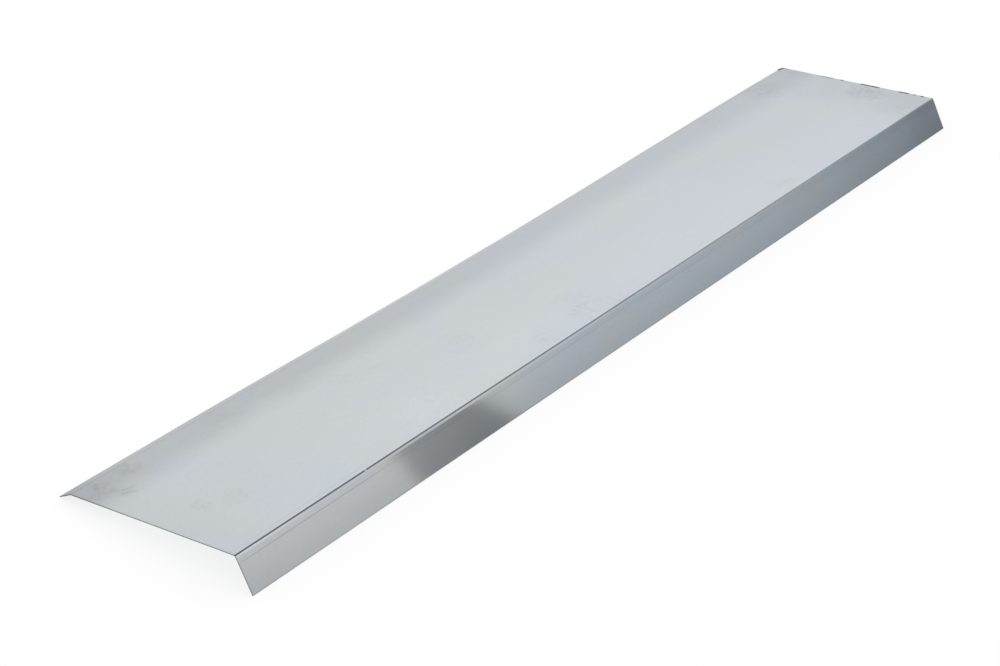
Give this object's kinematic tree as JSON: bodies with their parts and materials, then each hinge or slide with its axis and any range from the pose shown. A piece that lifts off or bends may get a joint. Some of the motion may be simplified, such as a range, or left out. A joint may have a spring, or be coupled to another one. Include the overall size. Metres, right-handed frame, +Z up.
{
  "type": "eaves flashing",
  "caption": "Folded strip of galvanised sheet steel for the edge of a roof: a broad flange, a steep drip leg along its front and a narrow turned-down lip along its back.",
  "frame": {"origin": "on the floor under the middle of the strip as it lies unheld", "axes": "+X along the eaves, +Y from the drip leg to the back lip, +Z up"},
  "size_m": [1, 0.1946, 0.0284],
  "materials": {
    "galvanised_steel": "galvanised, satin, with fine spangle"
  },
  "bodies": {
    "root": {"flashing": "galvanised_steel"}
  },
  "joints": []
}
